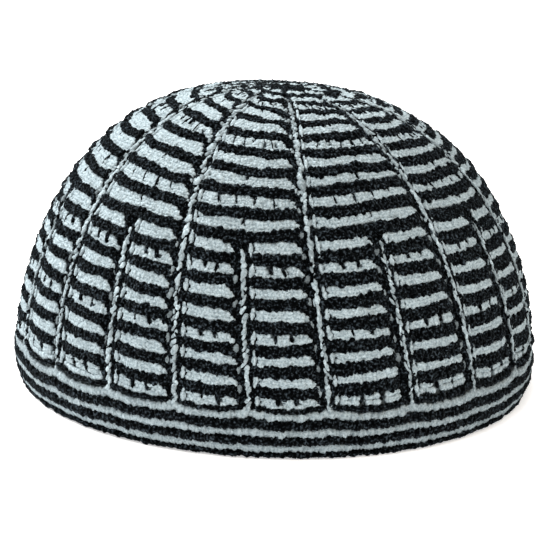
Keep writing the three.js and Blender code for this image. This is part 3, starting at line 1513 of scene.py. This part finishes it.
@dataclass
class Crown:
    """Panelled dome above the border."""

    shop: Workshop
    zones: tuple[str, str] = ("side", "top")
    stitch_seed: int = SEED + 10
    cord_seed: int = SEED + 20
    columns: int = 264
    wall_rows: int = 64
    outer_depth: float = 1.3
    tuck_depth: float = 2.3
    tuck: float = 1.2
    top_margin: float = 2.0
    lift_margin: float = 0.8
    inner_margin: float = 1.5
    stripe_edge: float = 0.15
    stitch_margin: float = 1.0
    side_rows: int = 7
    bar_drop: float = 0.35
    bar_narrowing: float = 0.3
    line_width: float = 0.7
    line_depth: float = 0.3
    opening_least: float = 0.6
    notch_width: float = 0.8
    notch_least: float = 0.7
    notch_length: float = 1.3
    notch_lift: float = 0.2
    notch_spread: Pair = (0.75, 1.2)
    tick_parts: tuple[Triple, ...] = ((-0.3, 2.1, 3.3), (1.5, 1.3, 2.8), (-1.6, 1.2, 2.3))
    tick_rise: float = 0.3
    tick_shift: float = 0.7
    tick_unevenness: float = 0.2
    tick_looseness: float = 0.4
    tick_least: float = 0.6
    tick_growth: float = 1.8
    tick_depth: float = 0.45
    tick_thick: float = 1.4
    tick_lean: float = 13.0
    dot_width: float = 1.6
    dot_length: float = 2.6
    dot_thick: float = 1.3
    dot_least: float = 0.7
    dot_depth: float = 0.3
    dot_lift: float = 0.5
    dot_spread: float = 0.35
    dot_drop: float = 0.7
    dot_shade: float = 0.5
    dot_shade_spread: Pair = (0.7, 1.2)
    dot_chance: float = 0.8
    cord_step: float = 1.3
    cord_start: float = 0.4
    cord_width: float = 1.32
    cord_length: float = 3.0
    cord_lean: float = 11.0
    cord_aside: float = 0.26
    cord_sway: float = 0.14
    cord_lag: float = 0.8
    cord_shade: float = 0.9
    cord_dimming: float = 0.35
    cord_depth: float = 0.55
    cord_thick: float = 0.85
    cord_growth: float = 1.5
    cord_side: float = 0.2
    cord_dwindle: float = 0.45
    cord_unevenness: float = 0.3
    cord_fade: Pair = (105.0, 140.0)
    cord_stop: float = 20.0
    short_cord_end: float = 66.5
    break_chance: float = 0.27
    break_aside: float = 0.7
    break_width: float = 1.0
    break_length: float = 1.9
    break_turn: float = 1.8

    def build(self) -> None:
        """Make the wall, the stitches and the rib cords."""
        self.build_wall()
        self.build_stitches()
        self.build_cords()

    def build_wall(self) -> None:
        """Make the backing of the crown."""
        knitter = self.shop.knitter
        form, chart = knitter.form, knitter.chart
        outer, inner = form.outer.total, form.inner.total
        panel = form.all_round(self.columns)
        stripes = chart.crown(outer)
        wall = Shell("crown_wall")
        tuck = chart.band_top - self.tuck
        wall.add(form.spots(panel, knitter.row_place(panel, tuck), self.tuck_depth).place, 0.0, tuck)
        for along in np.linspace(chart.band_top + form.band_gap, outer - self.top_margin, self.wall_rows):
            lifted = np.minimum(knitter.row_place(panel, along), outer - self.lift_margin)
            ring = form.spots(panel, lifted, self.outer_depth).place
            wall.add(ring, knitter.in_bar(panel, chart.stripe_at(stripes, along)), along)
        for depth, total in ((self.outer_depth, outer), (form.wall, inner)):
            wall.add(np.array([[0.0, 0.0, form.height - depth]]), 0.0, total)
        for stripe in reversed(stripes):
            for along in (stripe.end - self.stripe_edge, stripe.start + self.stripe_edge):
                along = float(np.clip(along * (inner / outer), tuck, inner - self.inner_margin))
                radius, level, _, _ = form.inner.at(along)
                ring = form.places(radius, form.panel_angle(panel, level), level)
                wall.add(ring, float(stripe.is_pale), along)
        self.shop.keep(wall.build(self.shop.backing), Yarn.DARK, "crown")

    def build_stitches(self) -> None:
        """Work every stripe of the crown."""
        knitter = self.shop.knitter
        chart = knitter.chart
        zones = [
            [StitchBatch(f"crown_{zone}_{yarn.word}", yarn) for yarn in Yarn] for zone in self.zones
        ]
        for stripe in chart.crown(knitter.form.outer.total - self.stitch_margin):
            batches = zones[stripe.row > self.side_rows]
            ribs = 2 if stripe.row > chart.low_rows - (not stripe.is_pale) else 1
            work = self.pale_stripe if stripe.is_pale else self.dark_stripe
            for first in range(0, knitter.form.low_panels, ribs):
                fitted = stripe.grown(-knitter.gauge.side_growth * knitter.side(first, ribs))
                work(*batches, fitted, first, ribs)
        self.shop.make(sum(zones, []), self.stitch_seed)

    def pale_stripe(
        self, dark: StitchBatch, pale: StitchBatch, stripe: Stripe, first: int, ribs: int
    ) -> None:
        """Work a bar with its tick, and the dark yarn beside them.

        Args:
            dark: Dark stitches.
            pale: Pale stitches.
            stripe: Stripe to work.
            first: Rib at the panel's start.
            ribs: Low panels that the panel takes up.
        """
        knitter = self.shop.knitter
        gauge, layout = knitter.gauge, knitter.layout
        wide = gauge.pitch * gauge.across_overlap
        openings = knitter.chart.openings(stripe.row)
        for course in stripe.courses(gauge.pale_course):
            span = knitter.span(first, ribs, course.middle)
            g = span.scale
            length = course.height * gauge.up_overlap
            start = g * layout.bar_start
            slope = (layout.bar_end - layout.bar_point) / layout.point_courses
            inset = layout.bar_point + slope * course.number
            end = max(start, span.width - g * inset)
            legs = knitter.legs(start, end) + gauge.brick_shift * (1.0 if course.number % 2 else -1.0)
            for opening in openings:
                if course.middle > stripe.end - opening.reach * stripe.height:
                    away = np.abs(legs - start - opening.share * (end - start))
                    legs = legs[away > opening.width / 2.0 * max(g, self.opening_least)]
            taper = smooth_step(end - g * layout.bar_taper, end, legs)
            drop = taper * self.bar_drop * course.number * course.height
            drop = drop + knitter.chart.step_down(stripe.row) * ((legs > (start + end) / 2.0) - 0.5)
            tall = length * (1.0 - self.bar_narrowing * taper)
            bar = Stitch(wide, tall, gauge.pale_depth, looseness=gauge.pale_looseness)
            knitter.work(pale, span, legs, course.middle, bar, drop)
            channel = knitter.legs(end, span.width - g * layout.edge)
            knitter.work(dark, span, channel, course.middle, Stitch(wide, length, gauge.dark_depth))
            line = Stitch(self.line_width * wide * g, length, gauge.dark_depth + self.line_depth)
            knitter.work(dark, span, [layout.line * g], course.middle, line)
        for opening in openings:
            reach = opening.reach * stripe.height * knitter.random.uniform(*self.notch_spread)
            width = self.notch_width * opening.width * max(g, self.notch_least)
            notch = Stitch(width, self.notch_length * reach, gauge.notch_depth)
            place = start + opening.share * (end - start)
            knitter.work(dark, span, [place], stripe.end - reach / 2.0 + self.notch_lift, notch)
        if g > layout.plain_below:
            self.tick(pale, span, stripe)

    def tick(self, pale: StitchBatch, span: PanelSpan, stripe: Stripe) -> None:
        """Work the upright tick at the start of a bar.

        Args:
            pale: Pale stitches.
            span: Panel that the bar is in.
            stripe: Stripe of the bar.
        """
        knitter = self.shop.knitter
        uniform = knitter.random.uniform
        g = max(span.scale, self.tick_least)
        middle = stripe.middle + self.tick_rise + uniform(-self.tick_shift, self.tick_shift)
        size = uniform(1.0 - self.tick_unevenness, 1.0 + self.tick_unevenness)
        size = size * (1.0 + self.tick_growth * (1.0 - knitter.layout.gather(stripe.middle)))
        lean = uniform(-self.tick_lean, self.tick_lean)
        loose = self.tick_looseness
        for rise, width, length in self.tick_parts:
            place = knitter.layout.tick * span.scale + rise * math.sin(math.radians(lean))
            part = Stitch(width * g, length * size, self.tick_depth, self.tick_thick, lean, looseness=loose)
            knitter.work(pale, span, [place], middle + rise * size, part)

    def dark_stripe(
        self, dark: StitchBatch, pale: StitchBatch, stripe: Stripe, first: int, ribs: int
    ) -> None:
        """Work a dark stripe across a panel, with the pale dot beside its far rib.

        Args:
            dark: Dark stitches.
            pale: Pale stitches.
            stripe: Stripe to work.
            first: Rib at the panel's start.
            ribs: Low panels that the panel takes up.
        """
        knitter = self.shop.knitter
        gauge, layout = knitter.gauge, knitter.layout
        uniform = knitter.random.uniform
        row_swell = gauge.dark_swell * float(gauge.swell_share.straight(stripe.middle))
        row_swell *= 1.0 - gauge.swell_side * knitter.side(first, ribs)
        for course in stripe.courses(gauge.dark_course):
            span = knitter.span(first, ribs, course.middle)
            g = span.scale
            legs = knitter.legs(g * layout.edge, max(span.width - g * layout.edge, g))
            share = (course.middle - stripe.start) / stripe.height
            swell = row_swell * smooth_step(0.0, g * gauge.swell_edge, np.minimum(legs, span.width - legs))
            depth = gauge.dark_depth - swell * 4.0 * share * (1.0 - share)
            leg = Stitch(gauge.pitch * gauge.across_overlap, course.height * gauge.dark_overlap, depth)
            knitter.work(dark, span, legs, course.middle, leg)
        if stripe.row and g > layout.plain_below and uniform() < self.dot_chance:
            place = span.width - layout.dot * g + self.dot_spread * uniform(-1.0, 1.0, 2)
            drop = self.dot_drop * uniform(-1.0, 1.0, 2)
            shade = self.dot_shade * uniform(*self.dot_shade_spread) / layout.gather(stripe.middle)
            size = max(g, self.dot_least)
            depth = self.dot_depth - self.dot_lift * row_swell
            dot = Stitch(self.dot_width * size, self.dot_length * size, depth, self.dot_thick, shade=shade)
            knitter.work(pale, span, place, stripe.middle, dot, drop)

    def build_cords(self) -> None:
        """Lay the twisted pale cord of every rib, with the dark yarn that breaks it up."""
        form, chart = self.shop.knitter.form, self.shop.knitter.chart
        batches = [StitchBatch("rib_cords", Yarn.PALE), StitchBatch("rib_breaks", Yarn.DARK)]
        for rib in range(form.low_panels):
            end = self.short_cord_end if rib % 2 else form.outer.total - self.cord_stop
            count = round((end - chart.band_top) / self.cord_step)
            for number, place in enumerate(np.linspace(chart.band_top + self.cord_start, end, count)):
                self.cord_link(*batches, rib, number, place)
        self.shop.make(batches, self.cord_seed)

    def cord_link(
        self, cords: StitchBatch, breaks: StitchBatch, rib: int, number: int, place: float
    ) -> None:
        """Lay one link of a rib's cord, on either strand turn about.

        Args:
            cords: Pale stitches.
            breaks: Dark stitches.
            rib: Rib that the cord lies on.
            number: Number of the link from the border.
            place: Length along the cloth.
        """
        knitter = self.shop.knitter
        random = knitter.random
        angle = knitter.form.rib_angles[rib]
        span = knitter.span(rib, 1, place)
        fade = float(smooth_step(*self.cord_fade, place))
        size = 1.0 - self.cord_dwindle * fade
        size = size * (1.0 + self.cord_growth * (1.0 - knitter.layout.gather(place)))
        size = size * (1.0 - self.cord_side * math.sin(math.radians(angle)))
        uneven = 1.0 + self.cord_unevenness * random.uniform(-1.0, 1.0, 3)
        lean = self.cord_lean if angle % 360.0 > 180.0 else -self.cord_lean
        side = self.cord_aside * (1.0 if number % 2 else -1.0)
        across = size * (side + self.cord_sway * random.uniform(-1.0, 1.0))
        width, length = self.cord_width * size * uneven[0], self.cord_length * uneven[1]
        shade = self.cord_shade * uneven[2] * (1.0 - self.cord_dimming * fade)
        loop = Stitch(width, length, self.cord_depth, self.cord_thick, lean, shade)
        knitter.work(cords, span, [across], place - self.cord_lag, loop)
        if random.uniform() < self.break_chance:
            across = self.break_aside * size * random.choice((-1.0, 1.0))
            turned = -lean * self.break_turn
            gap = Stitch(self.break_width * size, self.break_length, self.cord_depth, lean=turned)
            knitter.work(breaks, span, [across], place, gap)


@dataclass(frozen=True)
class FloorFinish:
    """Plain matt white studio floor."""

    name: str = "studio_white"
    colour: Triple = (0.93, 0.93, 0.93)
    grain: float = 4.0
    grain_depth: float = 0.02
    roughness: float = 0.9
    specular: float = 0.1
    glow: float = 0.48

    def material(self) -> Material:
        """Make the material of the floor.

        Returns:
            The finished material.
        """
        surface = Surface(self.name)
        tone = surface.noise(surface.place, self.grain) * self.grain_depth + (1.0 - self.grain_depth / 2.0)
        return surface.finish({
            "Base Color": surface.scale(self.colour, tone),
            "Roughness": self.roughness,
            "Specular IOR Level": self.specular,
            "Emission Color": opaque(self.colour),
            "Emission Strength": self.glow,
        })


@dataclass(frozen=True)
class Lamp:
    """Round soft lamp that shines on the cap: its place and width in metres, and its power in watts."""

    name: str
    place: Triple
    size: float
    power: float
    colour: Triple = (1.0, 1.0, 1.0)

    def hang(self) -> None:
        """Put the lamp in the scene."""
        light = bpy.data.lights.new(self.name, "AREA")
        light.shape = "DISK"
        light.size = self.size
        light.energy = self.power
        light.color = self.colour
        item = link(bpy.data.objects.new(self.name, light))
        item.location = self.place
        item.rotation_mode = "QUATERNION"
        item.rotation_quaternion = (-item.location).to_track_quat("-Z", "Y")


@dataclass
class Studio:
    """Floor, light and camera."""

    floor_size: float = 6.0
    world_light: float = 0.53
    lamps: tuple[Lamp, ...] = (
        Lamp("key", (-0.46, -0.36, 1.6), 1.5, 27.0),
        Lamp("rim", (-1.0, 0.75, 1.1), 0.8, 46.0),
        Lamp("fill", (1.0, -0.8, 1.2), 1.2, 8.5, (1.0, 0.83, 0.66)),
    )
    camera_back: float = 780.0
    camera_climb: float = 18.2
    sight_drop: float = 15.81
    roll: float = 1.9
    focal_length: float = 152.9
    sensor_width: float = 36.0
    aside: float = -0.5

    def build(self) -> None:
        """Set up the studio."""
        self.build_floor()
        self.build_light()
        self.build_camera()

    def build_floor(self) -> None:
        """Lay the floor under the hem."""
        half = self.floor_size / 2.0
        mesh = bpy.data.meshes.new("floor")
        corners = [(-half, -half, 0), (half, -half, 0), (half, half, 0), (-half, half, 0)]
        mesh.from_pydata(corners, [], [(0, 1, 2, 3)])
        mesh.materials.append(FloorFinish().material())
        link(bpy.data.objects.new("floor", mesh))

    def build_light(self) -> None:
        """Hang wide soft lamps, most of them at the upper left, in a bright plain room."""
        scene = bpy.context.scene
        scene.world = bpy.data.worlds.new("studio")
        scene.world.use_nodes = True
        board = Board(scene.world.node_tree)
        glow = {"Color": opaque((1.0, 1.0, 1.0)), "Strength": self.world_light}
        sky = board.add("ShaderNodeBackground", {}, glow)
        board.add("ShaderNodeOutputWorld", {}, {"Surface": sky})
        for lamp in self.lamps:
            lamp.hang()
        scene.view_settings.view_transform = "Standard"

    def build_camera(self) -> None:
        """Stand the camera in front of the cap, looking down on it."""
        lens = bpy.data.cameras.new("camera")
        lens.sensor_width = self.sensor_width
        lens.lens = self.focal_length
        camera = link(bpy.data.objects.new("camera", lens))
        back = self.camera_back * MM
        camera.location = (self.aside * MM, -back, back * math.tan(math.radians(self.camera_climb)))
        tip = math.radians(90.0 - self.sight_drop)
        roll = math.radians(self.roll)
        camera.rotation_mode = "QUATERNION"
        camera.rotation_quaternion = Quaternion((1, 0, 0), tip) @ Quaternion((0, 0, 1), roll)
        bpy.context.scene.camera = camera


PILE = {Yarn.DARK: 24000, Yarn.PALE: 22000}
PILE_SEED = SEED + 30


def main() -> None:
    """Build the studio and the cap."""
    logging.basicConfig(level=logging.INFO, format="%(name)s %(message)s")
    Studio().build()
    knitter = Knitter(CapForm(), Chart(), PanelLayout(), Gauge(), np.random.default_rng(SEED))
    yarns = {yarn: finish.material() for yarn, finish in FINISHES.items()}
    shop = Workshop(knitter, StitchMaker(), yarns, ClothFinish().material())
    BorderBand(shop).build()
    Crown(shop).build()
    shop.brush(PILE, PILE_SEED)


if __name__ == "__main__":
    main()
